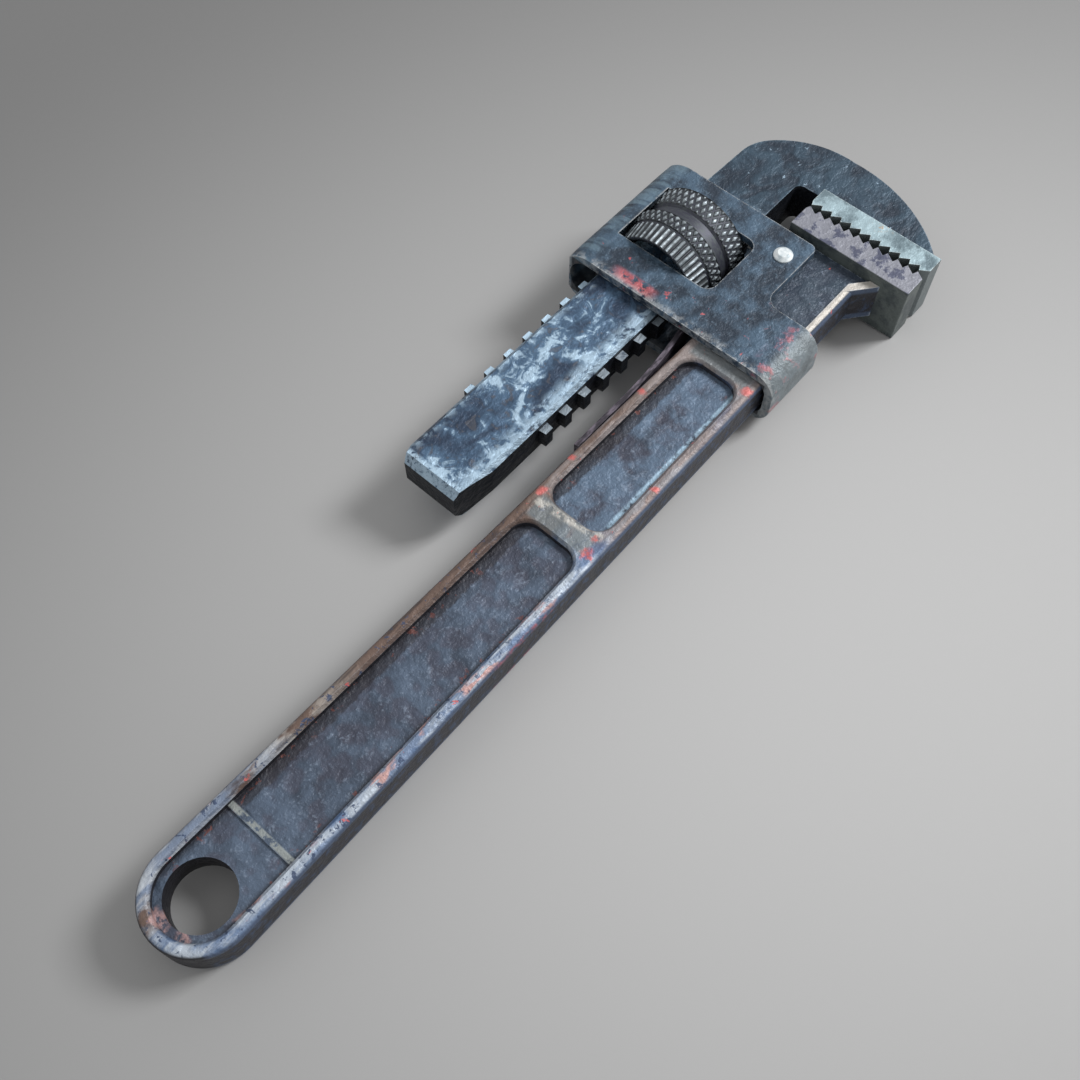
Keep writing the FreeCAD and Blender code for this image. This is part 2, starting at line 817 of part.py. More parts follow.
def cut_window(body):
    """The window that shows the nut on both faces, and the round seat that guides the nut."""
    window = start_sketch(body, "NutWindow")
    far = cell("shank_side") + cell("nut_radius") - 3
    x_end = window_x + cell("window_length")
    draw_profile(window, box_corners(window_x, cell("window_edge"), x_end, far))
    pocket(body, window, outer_half * 4)
    soften(body, "WindowCorners", "Fillet", cell("window_round"),
           upright_at((window_x.value, cell("window_edge").value),
                      (x_end.value, cell("window_edge").value)))
    seat = start_sketch(body, "NutSeat", "YZ_Plane", window_x)
    draw_circle(seat, cell("shank_side"), 0, cell("nut_radius") + cell("nut_clearance"))
    pocket(body, seat, cell("window_length"), both_ways=False, backwards=True)


def build_pivot_pin():
    """A rivet with a low domed head on each face of the housing."""
    body = start_body("pivot_pin")
    profile = start_sketch(body, "PinProfile", "XZ_Plane")
    radius = cell("pivot_radius")
    head = cell("pivot_head_radius")
    top = outer_half + cell("pivot_head_height")
    draw_profile(profile, [
        (0, -top),
        (head * 0.6, -top),
        (head, -outer_half - 0.5),
        (head, -outer_half),
        (radius, -outer_half),
        (radius, outer_half),
        (head, outer_half),
        (head, outer_half + 0.5),
        (head * 0.6, top),
        (0, top),
    ])
    turn = body.newObject("PartDesign::Revolution", "PinTurned")
    turn.Profile = profile
    turn.ReferenceAxis = (profile, ["V_Axis"])
    turn.Angle = 360
    place(body, pivot_x, pivot_y, 0)
    return body


def build_leaf_spring():
    """A flat strip on the handle's side that bends away from it up into the housing."""
    body = start_body("leaf_spring")
    strip = start_sketch(body, "SpringStrip")
    bend = cell("spring_bend")
    sweep = cell("spring_sweep")
    thick = cell("spring_thickness")
    x0 = cell("spring_x")
    x1 = x0 + cell("spring_flat")
    centre_y = spring_face + bend
    draw_profile(strip, [
        (x0, spring_face),
        (x1, spring_face, bend),
        (x1 + bend * sine(sweep), centre_y - bend * cosine(sweep)),
        (x1 + (bend - thick) * sine(sweep), centre_y - (bend - thick) * cosine(sweep),
         bend - thick, "hollow"),
        (x1, spring_face + thick),
        (x0, spring_face + thick),
    ])
    pad(body, strip, cell("spring_width"))
    for number, x in enumerate(spring_rivet_stations, 1):
        hole = start_sketch(body, f"SpringHole{number}", "XZ_Plane", -spring_face)
        draw_circle(hole, x, 0, cell("spring_rivet") + cell("fit_gap"))
        pocket(body, hole, thick * 6)
    return body


def build_spring_rivets():
    rivets = []
    seat = spring_face + cell("spring_thickness")
    for number, x in enumerate(spring_rivet_stations, 1):
        stem = document.addObject("Part::Cylinder", f"SpringRivetStem{number}")
        bind(stem, "Radius", cell("spring_rivet"))
        bind(stem, "Height", seat - spring_face + cell("spring_rivet_depth") - cell("fit_gap") + 0.2)
        stem.Placement = FreeCAD.Placement(Vector(), FreeCAD.Rotation(Vector(1, 0, 0), 90))
        place(stem, x, seat + 0.2, 0)
        head = document.addObject("Part::Cone", f"SpringRivetHead{number}")
        bind(head, "Radius1", cell("spring_rivet") * 1.8)
        bind(head, "Radius2", cell("spring_rivet") * 1.1)
        bind(head, "Height", cell("spring_rivet") * 0.6)
        head.Placement = FreeCAD.Placement(Vector(), FreeCAD.Rotation(Vector(1, 0, 0), -90))
        place(head, x, seat, 0)
        rivet = document.addObject("Part::Fuse", f"SpringRivet{number}")
        rivet.Base = stem
        rivet.Tool = head
        rivets.append(rivet)
    return group(rivets, "spring_rivets")


def check_document():
    """Stops if any object failed or any piece is empty or unsound."""
    failed = [item.Name for item in document.Objects
              if "Invalid" in item.State or "Error" in item.State]
    if failed:
        raise RuntimeError(f"failed objects: {failed}")
    for piece in pieces:
        if piece.Shape.isNull() or not piece.Shape.isValid() or piece.Shape.Volume < 1:
            raise RuntimeError(f"{piece.Label} is not a sound solid")


def write_pieces():
    os.makedirs("parts", exist_ok=True)
    for piece in pieces:
        box = piece.Shape.BoundBox
        print(f"{piece.Label:20s} solids {len(piece.Shape.Solids)} volume {piece.Shape.Volume:9.1f}"
              f"  x {box.XMin:7.1f} {box.XMax:7.1f}  y {box.YMin:6.1f} {box.YMax:6.1f}"
              f"  z {box.ZMin:6.1f} {box.ZMax:6.1f}")
        piece.Shape.exportStep(f"parts/{piece.Label}.step")


pieces = [
    build_handle(),
    build_heel_jaw(),
    build_heel_pin(),
    build_hook_jaw(),
    build_insert(),
    build_insert_rivets(),
    build_nut(),
    build_housing(),
    build_pivot_pin(),
    build_leaf_spring(),
    build_spring_rivets(),
]
document.recompute()
check_document()
write_pieces()
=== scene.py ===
import math

import bmesh
import bpy
from mathutils import Matrix, Vector


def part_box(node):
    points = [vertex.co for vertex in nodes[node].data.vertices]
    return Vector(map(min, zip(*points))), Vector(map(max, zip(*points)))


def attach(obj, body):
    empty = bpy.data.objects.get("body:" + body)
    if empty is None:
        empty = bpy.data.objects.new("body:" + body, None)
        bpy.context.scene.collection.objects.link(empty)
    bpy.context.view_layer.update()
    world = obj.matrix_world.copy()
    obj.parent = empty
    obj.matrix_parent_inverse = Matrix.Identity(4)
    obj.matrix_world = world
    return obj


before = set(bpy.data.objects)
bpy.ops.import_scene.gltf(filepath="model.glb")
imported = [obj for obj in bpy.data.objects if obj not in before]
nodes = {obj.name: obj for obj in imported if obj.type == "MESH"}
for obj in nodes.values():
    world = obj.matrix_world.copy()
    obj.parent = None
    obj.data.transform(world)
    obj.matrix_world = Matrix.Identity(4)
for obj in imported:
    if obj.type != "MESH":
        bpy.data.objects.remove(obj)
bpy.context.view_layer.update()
print("frame loaded:", sorted(nodes))

mm = 0.001


class Wire:
    # one socket of a material, with arithmetic that adds Math nodes
    def __init__(self, finish, socket):
        self.finish = finish
        self.socket = socket

    def maths(self, operation, *values):
        return self.finish.node("ShaderNodeMath", {"operation": operation}, dict(enumerate(values)))

    def __add__(self, other):
        return self.maths("ADD", self, other)

    def __radd__(self, other):
        return self.maths("ADD", other, self)

    def __sub__(self, other):
        return self.maths("SUBTRACT", self, other)

    def __rsub__(self, other):
        return self.maths("SUBTRACT", other, self)

    def __mul__(self, other):
        return self.maths("MULTIPLY", self, other)

    def __rmul__(self, other):
        return self.maths("MULTIPLY", other, self)

    def size(self):
        return self.maths("ABSOLUTE", self)

    def over(self, other):
        return self.maths("MAXIMUM", self, other)

    def under(self, other):
        return self.maths("MINIMUM", self, other)

    def step(self, low, high):
        # 0 below low, 1 above high, smooth between them; low may be the larger
        return self.finish.node(
            "ShaderNodeMapRange", {"interpolation_type": "SMOOTHSTEP"},
            {"Value": self, "From Min": low, "From Max": high, "To Min": 0.0, "To Max": 1.0})


class Finish:
    # a material under construction
    def __init__(self, name):
        self.material = bpy.data.materials.new(name)
        self.material.use_nodes = True
        self.tree = self.material.node_tree
        self.shader = self.tree.nodes["Principled BSDF"]

    def node(self, kind, settings=None, sockets=None, output=0):
        made = self.tree.nodes.new(kind)
        for key, value in (settings or {}).items():
            setattr(made, key, value)
        for key, value in (sockets or {}).items():
            self.feed(made.inputs[key], value)
        return Wire(self, made.outputs[output])

    def feed(self, socket, value):
        if isinstance(value, Wire):
            self.tree.links.new(value.socket, socket)
        elif socket.type == "RGBA" and len(value) == 3:
            socket.default_value = (*value, 1)
        else:
            socket.default_value = value

    def set(self, **sockets):
        for key, value in sockets.items():
            self.feed(self.shader.inputs[key.replace("_", " ")], value)
        return self.material

    # coordinates in millimetres of the tool's own frame
    def place(self):
        spot = self.node("ShaderNodeTexCoord", output=3)
        return self.node("ShaderNodeVectorMath", {"operation": "SCALE"}, {0: spot, "Scale": 1 / mm})

    def axes(self, place):
        return [self.node("ShaderNodeSeparateXYZ", None, {0: place}, index) for index in range(3)]

    def stretch(self, place, x, y, z):
        return self.node("ShaderNodeVectorMath", {"operation": "MULTIPLY"}, {0: place, 1: (x, y, z)})

    def noise(self, place, grain, detail=4.0, rough=0.55, bend=0.0):
        # grain is the size of the largest blobs in millimetres
        return self.node("ShaderNodeTexNoise", None, {
            "Vector": place, "Scale": 1.0 / grain, "Detail": detail,
            "Roughness": rough, "Distortion": bend})

    def cells(self, place, grain):
        return self.node(
            "ShaderNodeTexVoronoi", {"feature": "SMOOTH_F1"},
            {"Vector": place, "Scale": 1.0 / grain})

    def mix(self, factor, first, second):
        return self.node("ShaderNodeMix", {"data_type": "RGBA"}, {0: factor, 6: first, 7: second}, 2)

    def bump(self, height, depth, strength=1.0):
        return self.node(
            "ShaderNodeBump", None,
            {"Height": height, "Distance": depth * mm, "Strength": strength})

    def edgeMask(self, radius):
        # 1 along sharp edges, 0 on flat ground
        rounded = self.node("ShaderNodeBevel", {"samples": edgeWearAndHighlight["samples"]}, {"Radius": radius * mm})
        plain = self.node("ShaderNodeNewGeometry", output=1)
        match = self.node("ShaderNodeVectorMath", {"operation": "DOT_PRODUCT"}, {0: rounded, 1: plain}, 1)
        return (1 - match) * edgeWearAndHighlight["gain"]


# settings of the edge mask, which paints edges pale as edge wear and as a painted highlight
edgeWearAndHighlight = {"samples": 6, "gain": 3.0}

# the screen's own curve from a written colour to the light it stands for
screen = {"full": 255, "kneeValue": 0.04045, "kneeSlope": 12.92, "offset": 0.055, "power": 2.4}


def linear(red, green, blue):
    # a colour written as 0 to 255 values on screen
    def one(value):
        value = value / screen["full"]
        if value <= screen["kneeValue"]:
            return value / screen["kneeSlope"]
        return ((value + screen["offset"]) / (1 + screen["offset"])) ** screen["power"]
    return one(red), one(green), one(blue)


def axisMask(value, low, high, blur):
    # 1 between low and high, fading over blur
    return value.step(low - blur, low + blur) * value.step(high + blur, high - blur)


chip = {"detail": 6.0, "rough": 0.62, "bend": 0.4, "spread": 0.36, "blur": 0.03}


def chips(finish, place, grain, cover):
    # scattered ragged patches; cover is the share that they take
    field = finish.noise(place, grain, chip["detail"], chip["rough"], chip["bend"])
    edge = 0.5 + (0.5 - cover) * chip["spread"]
    return field.step(edge, edge + chip["blur"])


blot = {"grain": 2.6, "detail": 3.0, "ragged": 2.0, "core": 0.3}


def spot(finish, place, centre, radius):
    # 1 inside a ragged patch, fading at its edge
    away = finish.node("ShaderNodeVectorMath", {"operation": "DISTANCE"}, {0: place, 1: centre}, 1)
    shift = (finish.noise(place, blot["grain"], blot["detail"]) - 0.5) * (radius * blot["ragged"])
    return (away + shift).step(radius, radius * blot["core"])


flatFrom = (0.45, 0.85)


def facing(finish):
    # 1 where the surface faces +Z or -Z
    normal = finish.node("ShaderNodeNewGeometry", output=1)
    return finish.axes(normal)[2].size().step(*flatFrom)


def blended(first, second, shares):
    # two patterns added by their shares
    return first * shares[0] + second * shares[1]


cast = {
    # each size of dent against the coarse grain
    "middle": 0.32, "fine": 0.1, "dents": 0.5,
    # detail and roughness of each noise
    "coarseNoise": (5.0, 0.6), "middleNoise": (4.0, 0.6), "fineDetail": 3.0,
    # how much each adds to the relief
    "coarseHeight": 1.1, "middleHeight": 0.7, "fineHeight": 0.16, "dentHeight": 0.35,
    "glint": (0.54, 0.66), "glintMix": (0.6, 0.4), "gloss": 0.34, "glossRange": 0.3,
    # how much of the coarse noise's bend the middle one takes
    "middleBend": 0.5,
}


class Ground:
    # the cast surface that all the iron and steel share: three sizes of dents, and their relief
    def __init__(self, finish, place, grain, bend=0.0):
        self.coarse = finish.noise(place, grain, *cast["coarseNoise"], bend)
        self.middle = finish.noise(place, grain * cast["middle"], *cast["middleNoise"],
                                   bend * cast["middleBend"])
        self.fine = finish.noise(place, grain * cast["fine"], cast["fineDetail"])
        self.dents = finish.cells(place, grain * cast["dents"])
        self.relief = (self.coarse * cast["coarseHeight"] + self.middle * cast["middleHeight"]
                       + self.fine * cast["fineHeight"] + self.dents * cast["dentHeight"])
        self.glint = blended(self.middle, self.fine, cast["glintMix"]).step(*cast["glint"])
        self.gloss = cast["gloss"] + self.middle * cast["glossRange"]


# in each piece's dictionary, "cover" has the two pattern levels between which a layer comes in,
# "amount" how strongly it covers what is under it, and "at" its place in millimetres, from where
# to where it comes in, or for a band its two edges and their fade
handle = {
    "tone": {
        "floorDark": linear(56, 66, 81), "floorPale": linear(88, 103, 123),
        "floorBlue": linear(96, 117, 140), "floorRed": linear(80, 68, 80),
        "ledge": linear(44, 42, 48), "speck": linear(150, 164, 184), "wall": linear(36, 36, 42),
        "rust": linear(120, 70, 62), "silver": linear(182, 192, 204), "blue": linear(82, 108, 146),
        "ink": linear(58, 74, 104), "brown": linear(110, 91, 82), "cream": linear(206, 202, 194),
        "pink": linear(190, 152, 148), "dusty": linear(156, 146, 144), "red": linear(208, 102, 98),
        "side": linear(48, 48, 54), "bevel": linear(80, 94, 118), "rib": linear(114, 122, 126),
        "web": linear(62, 76, 90), "lowBar": linear(150, 156, 154),
        "panelShine": linear(172, 202, 224),
    },
    "at": {
        # half the width inside the rims at the hang hole, and its loss for each mm along the handle
        "panelEdge": 12.4, "taper": 0.00943,
        # along the handle
        "upper": (140.0, 156.0), "cream": (78.0, 30.0), "cold": (50.0, 32.0), "ink": (200.0, 60.0),
        "rib": (139.0, 147.5, 1.0), "topBar": (216.5, 219.0), "crest": (144.6, 147.2, 0.8),
        "crestLean": 0.12,
        "blueFloor": (140.0, 150.0), "ledge": (10.0, 30.0), "lowBar": (20.7, 22.5, 0.3),
        "shine": (150.0, 154.0), "web": (246.0, 250.0), "panelsEnd": (216.8, 216.0),
        "streak": (96.0, 122.0, 4.0),
        # across the handle
        "farRim": (-2.0, 2.0), "barWidth": (12.0, 10.0), "crestWidth": (12.5, 11.0),
        "ledgeSide": (2.0, 5.0), "shineSide": (-8.0, -9.0), "nearEdge": (-8.0, -12.0),
        "nearBevel": (0.0, -8.0), "farSide": (8.0, 12.0),
        # inward from the rim
        "wallShade": (2.6, 0.0), "ledgeReach": (5.6, 4.6), "ledgeWander": 3.0, "rust": (4.5, 0.5),
        "shineLine": (0.2, 2.2, 0.5), "inside": (-1.5, 0.0),
        # up from the middle plane
        "rimTop": (5.2, 6.6), "lowBarTop": (4.7, 5.0), "webLevel": (7.2, 6.9),
        "bevelTop": (4.4, 5.8), "streakTop": (4.0, 6.0), "edgeTop": (5.2, 6.2),
    },
    "cover": {
        "floor": (0.3, 0.68), "floorRed": (0.46, 0.36), "floorBlue": (0.36, 0.6),
        "blue": (0.38, 0.52), "blueStreak": (0.42, 0.58), "pink": (0.56, 0.62),
        "pinkStreak": (0.44, 0.52), "dustyNear": (0.42, 0.58), "cream": (0.36, 0.46),
        "darkStreak": (0.5, 0.62), "dustyFar": (0.36, 0.56), "cold": (0.34, 0.5),
        "crest": (0.36, 0.54), "lowBar": (0.4, 0.5), "shine": (0.34, 0.54), "web": (0.36, 0.66),
        "sideBlue": (0.5, 0.66), "bevel": (0.2, 0.45), "streak": (0.46, 0.6),
        "streakBreaks": (0.4, 0.55), "sideBrown": (0.4, 0.6), "edgeWearAndHighlight": (0.25, 0.8),
        "edgeBreaks": (0.42, 0.56), "redSpots": (0.3, 0.45), "pinkSpots": (0.34, 0.5),
    },
    "amount": {
        "floorRed": 0.25, "floorBlue": 0.7, "glint": 0.35, "wallShade": 0.75, "ledge": 0.75,
        "rust": 0.7, "lowBar": 0.9, "shine": 0.8, "blueStreak": 0.75, "brown": 0.9,
        "brownGain": 1.6, "dustyNear": 0.7, "darkStreak": 0.6, "dustyFar": 0.8, "cold": 0.8,
        "bars": 0.85, "crest": 0.7, "ink": 0.9, "webGlint": 0.3, "webEdge": 0.8, "sideBlue": 0.3,
        "streak": 0.6, "sideBrown": 0.35, "edgeWearAndHighlight": 0.7, "redSpots": 0.8, "pinkSpots": 0.7,
        "specks": 0.8,
    },
    "grain": 9.0, "depth": 1.0, "metallic": 0.2, "edgeRadius": 1.2, "redMix": (0.5, 0.4),
    # the streaks along the rim and the patches on it: stretch, then grain, detail and roughness
    "streakStretch": (0.16, 1.0, 1.0), "streaks": (3.2, 5.0, 0.6),
    "patchStretch": (0.5, 1.0, 1.0), "patches": (9.0, 4.0),
    # grain and cover of the chips
    "rustChips": (3.0, 0.2), "inkChips": (2.0, 0.26), "redChips": (4.0, 0.06),
    # place and radius of the paint spots
    "redSpots": (
        ((140.5, -11.6, 7.0), 2.6), ((146.4, -10.6, 7.0), 2.0), ((148.0, 12.4, 7.0), 2.4),
        ((217.6, -12.2, 7.0), 2.6), ((171.0, -12.6, 7.0), 1.8), ((196.0, 13.0, 7.0), 1.6),
        ((163.0, 13.6, 7.0), 1.8)),
    "pinkSpots": (
        ((3.0, -12.5, 4.5), 2.4), ((-11.5, 3.0, 4.5), 4.0), ((-10.5, -5.0, 4.5), 3.0)),
}


def parts(piece):
    return piece["tone"], piece["at"], piece["cover"], piece["amount"]


def rimTone(finish, place, x, y, ground):
    # the raised rim: brown and cream on the shank's side, silver, blue and pink on the other
    tone, at, cover, amount = parts(handle)
    streak = finish.noise(finish.stretch(place, *handle["streakStretch"]), *handle["streaks"])
    patch = finish.noise(finish.stretch(place, *handle["patchStretch"]), *handle["patches"])
    upper = x.step(*at["upper"])

    cold = finish.mix(patch.step(*cover["blue"]), tone["blue"], tone["silver"])
    cold = finish.mix(streak.step(*cover["blueStreak"]) * amount["blueStreak"], cold, tone["blue"])
    pink = patch.step(*cover["pink"]) * streak.step(*cover["pinkStreak"])
    near = finish.mix(pink, cold, tone["pink"])
    brown = (streak * amount["brownGain"]).under(amount["brown"])
    near = finish.mix(upper * brown, near, tone["brown"])
    dusty = streak.step(*cover["dustyNear"]) * amount["dustyNear"]
    near = finish.mix(upper * dusty, near, tone["dusty"])

    cream = x.step(*at["cream"]) * patch.step(*cover["cream"])
    far = finish.mix(cream, tone["brown"], tone["cream"])
    far = finish.mix(streak.step(*cover["darkStreak"]) * amount["darkStreak"], far, tone["wall"])
    dusty = streak.step(*cover["dustyFar"]) * amount["dustyFar"]
    far = finish.mix(upper * dusty, far, tone["dusty"])
    coldEnd = x.step(*at["cold"]) * patch.step(*cover["cold"]) * amount["cold"]
    far = finish.mix(coldEnd, far, cold)

    rim = finish.mix(y.step(*at["farRim"]), near, far)
    bars = axisMask(x, *at["rib"]).over(x.step(*at["topBar"]))
    rim = finish.mix(bars * y.size().step(*at["barWidth"]) * amount["bars"], rim, tone["rib"])
    # painted highlight: a cream band along the rib's crest
    crest = axisMask(x + y * at["crestLean"], *at["crest"]) * y.size().step(*at["crestWidth"])
    rim = finish.mix(crest * ground.middle.step(*cover["crest"]) * amount["crest"], rim, tone["cream"])
    ink = chips(finish, place, *handle["inkChips"]) * x.step(*at["ink"])
    return finish.mix(ink * amount["ink"], rim, tone["ink"])


def panelTone(finish, place, x, y, height, inward, ground):
    # the sunk panels, with painted shade along their walls, a painted highlight on the bar beside the
    # hang hole, and a painted highlight line along the near wall of the upper panel
    tone, at, cover, amount = parts(handle)
    floor = finish.mix(ground.coarse.step(*cover["floor"]), tone["floorDark"], tone["floorPale"])
    reddish = blended(ground.coarse, ground.dents, handle["redMix"]).step(*cover["floorRed"])
    floor = finish.mix(reddish * amount["floorRed"], floor, tone["floorRed"])
    bluish = x.step(*at["blueFloor"]) * ground.coarse.step(*cover["floorBlue"])
    floor = finish.mix(bluish * amount["floorBlue"], floor, tone["floorBlue"])
    floor = finish.mix(ground.glint * amount["glint"], floor, tone["speck"])
    floor = finish.mix(inward.step(*at["wallShade"]) * amount["wallShade"], floor, tone["wall"])
    wander = inward + ground.middle * at["ledgeWander"]
    ledge = y.step(*at["ledgeSide"]) * wander.step(*at["ledgeReach"]) * x.step(*at["ledge"])
    floor = finish.mix(ledge * amount["ledge"], floor, tone["ledge"])
    rust = chips(finish, place, *handle["rustChips"]) * inward.step(*at["rust"])
    floor = finish.mix(rust * amount["rust"], floor, tone["rust"])
    # painted highlight: the low bar's top painted pale
    bar = axisMask(x, *at["lowBar"]) * height.step(*at["lowBarTop"])
    bar = bar * ground.middle.step(*cover["lowBar"])
    floor = finish.mix(bar * amount["lowBar"], floor, tone["lowBar"])
    # painted highlight: a pale line along the near wall of the upper panel
    shine = y.step(*at["shineSide"]) * axisMask(inward, *at["shineLine"]) * x.step(*at["shine"])
    shine = shine * ground.middle.step(*cover["shine"]) * amount["shine"]
    return finish.mix(shine, floor, tone["panelShine"])


def handleSide(finish, x, y, height, inward, ground):
    # the outer sides, painted dark as painted shade, their bevels on the near side painted paler as
    # painted light, and the walls of the panels, painted dark as painted shade
    tone, at, cover, amount = parts(handle)
    bluish = ground.middle.step(*cover["sideBlue"])
    # painted shade: the side faces start from a dark tone
    side = finish.mix(bluish * amount["sideBlue"], tone["side"], tone["blue"])
    # painted light: the upper band of the near side painted paler
    bevel = height.step(*at["bevelTop"]) * y.step(*at["nearBevel"])
    side = finish.mix(bevel * ground.coarse.step(*cover["bevel"]), side, tone["bevel"])
    streak = axisMask(x, *at["streak"]) * y.step(*at["nearEdge"]) * height.step(*at["streakTop"])
    breaks = ground.coarse.step(*cover["streak"]) * ground.middle.step(*cover["streakBreaks"])
    side = finish.mix(streak * breaks * amount["streak"], side, tone["red"])
    brown = y.step(*at["farSide"]) * ground.coarse.step(*cover["sideBrown"])
    side = finish.mix(brown * amount["sideBrown"], side, tone["brown"])
    # painted shade: the walls of the panels painted dark
    inside = inward.step(*at["inside"]) * x.step(*at["panelsEnd"])
    return finish.mix(inside, side, tone["wall"])


def handleIron():
    tone, at, cover, amount = parts(handle)
    finish = Finish("handleIron")
    place = finish.place()
    x, y, z = finish.axes(place)
    ground = Ground(finish, place, handle["grain"])
    height = z.size()
    inward = (at["panelEdge"] - x * at["taper"]) - y.size()
    rim = height.step(*at["rimTop"])
    floor = panelTone(finish, place, x, y, height, inward, ground)
    surface = finish.mix(rim, floor, rimTone(finish, place, x, y, ground))

    # the flat web under the heel jaw, and its near edge painted cream as a painted highlight
    web = x.step(*at["web"])
    webTone = finish.mix(ground.coarse.step(*cover["web"]), tone["floorDark"], tone["web"])
    webTone = finish.mix(ground.glint * amount["webGlint"], webTone, tone["speck"])
    surface = finish.mix(height.step(*at["webLevel"]) * web, surface, webTone)
    # painted highlight: the web's near edge painted cream
    webEdge = web * height.step(*reversed(at["webLevel"])) * y.step(*at["nearEdge"])
    surface = finish.mix(webEdge * amount["webEdge"], surface, tone["cream"])

    side = handleSide(finish, x, y, height, inward, ground)
    surface = finish.mix(facing(finish), side, surface)
    # edge wear and a painted highlight: the rim's upper edges painted silver
    paleEdge = finish.edgeMask(handle["edgeRadius"]).step(*cover["edgeWearAndHighlight"])
    paleEdge = paleEdge * ground.middle.step(*cover["edgeBreaks"]) * height.step(*at["edgeTop"])
    surface = finish.mix(paleEdge * amount["edgeWearAndHighlight"], surface, tone["silver"])

    for kind, colour in (("redSpots", tone["red"]), ("pinkSpots", tone["pink"])):
        for centre, radius in handle[kind]:
            dot = spot(finish, place, centre, radius) * ground.middle.step(*cover[kind])
            surface = finish.mix(dot * amount[kind], surface, colour)
    specks = chips(finish, place, *handle["redChips"]) * rim
    surface = finish.mix(specks * amount["specks"], surface, tone["red"])
    return finish.set(Base_Color=surface, Metallic=handle["metallic"], Roughness=ground.gloss,
                      Normal=finish.bump(ground.relief, handle["depth"]))


housing = {
    "tone": {
        "dark": linear(42, 54, 68), "pale": linear(76, 98, 118), "speck": linear(134, 160, 182),
        "edge": linear(190, 192, 192), "red": linear(196, 98, 102), "collar": linear(140, 148, 150),
        "back": linear(112, 136, 152), "inside": linear(26, 28, 34),
    },
    "at": {
        "back": (56.0, 60.0), "collar": (-10.0, -15.0), "collarTop": (249.0, 247.0),
        "redEdge": (33.0, 48.0, 3.0), "redEdgeRise": (223.6, 227.8, 1.0), "collarRed": (-6.0, -11.0),
        "specks": (252.0, 232.0), "rubAndHighlight": (226.4, 223.4), "collarWall": -15.6,
        "hollowNear": (0.0, 0.4), "hollowHeight": (8.3, 7.8), "hollowFar": (65.0, 64.0),
    },
    "cover": {
        "pale": (0.38, 0.64), "bands": (0.42, 0.56), "edgeWearAndHighlight": (0.2, 0.7), "edgeBreaks": (0.36, 0.5),
        "redEdge": (0.36, 0.5), "collarRed": (0.55, 0.65), "rubAndHighlight": (0.42, 0.56),
    },
    "amount": {
        "glint": 0.24, "back": 0.7, "edgeWearAndHighlight": 0.8, "collarRed": 0.65, "red": 0.75, "rubAndHighlight": 0.35,
        "inside": 0.85,
    },
    "grain": 8.0, "depth": 0.9, "metallic": 0.25, "edgeRadius": 1.0,
    "bandStretch": (1.0, 0.12, 0.12), "bands": (3.4, 4.0), "collarMix": (0.8, 0.5),
    "redChips": (4.6, 0.08),
}


def housingIron():
    tone, at, cover, amount = parts(housing)
    finish = Finish("housingIron")
    place = finish.place()
    x, y, z = finish.axes(place)
    ground = Ground(finish, place, housing["grain"])
    surface = finish.mix(ground.coarse.step(*cover["pale"]), tone["dark"], tone["pale"])
    surface = finish.mix(ground.glint * amount["glint"], surface, tone["speck"])
    bands = finish.noise(finish.stretch(place, *housing["bandStretch"]), *housing["bands"])
    back = y.step(*at["back"]) * bands.step(*cover["bands"])
    surface = finish.mix(back * amount["back"], surface, tone["back"])
    # edge wear and a painted highlight: the edges painted pale
    paleEdge = finish.edgeMask(housing["edgeRadius"]).step(*cover["edgeWearAndHighlight"])
    paleEdge = paleEdge * ground.middle.step(*cover["edgeBreaks"])
    surface = finish.mix(paleEdge * amount["edgeWearAndHighlight"], surface, tone["edge"])
    collar = y.step(*at["collar"]) * x.step(*at["collarTop"])
    patchy = blended(ground.coarse, ground.middle, housing["collarMix"]).under(1.0)
    surface = finish.mix(collar * patchy, surface, tone["collar"])

    redEdge = axisMask(y, *at["redEdge"]) * axisMask(x, *at["redEdgeRise"])
    redEdge = redEdge * ground.middle.step(*cover["redEdge"])
    collarRed = y.step(*at["collarRed"]) * ground.coarse.step(*cover["collarRed"]) * amount["collarRed"]
    specks = chips(finish, place, *housing["redChips"]) * x.step(*at["specks"])
    red = (redEdge + collarRed + specks).under(1.0)
    surface = finish.mix(red * amount["red"], surface, tone["red"])

    # rubbed wear and a painted highlight: the housing's low end painted pale in patches
    rubAndHighlight = x.step(*at["rubAndHighlight"]) * ground.middle.step(*cover["rubAndHighlight"]) * amount["rubAndHighlight"]
    surface = finish.mix(rubAndHighlight, surface, tone["edge"])
    # painted shade: the housing's hollow painted near black
    hollow = (y - at["collarWall"]).step(*at["hollowNear"]) * z.size().step(*at["hollowHeight"])
    hollow = hollow * y.step(*at["hollowFar"])
    surface = finish.mix(hollow * amount["inside"], surface, tone["inside"])
    return finish.set(Base_Color=surface, Metallic=housing["metallic"], Roughness=ground.gloss,
                      Normal=finish.bump(ground.relief, housing["depth"]))


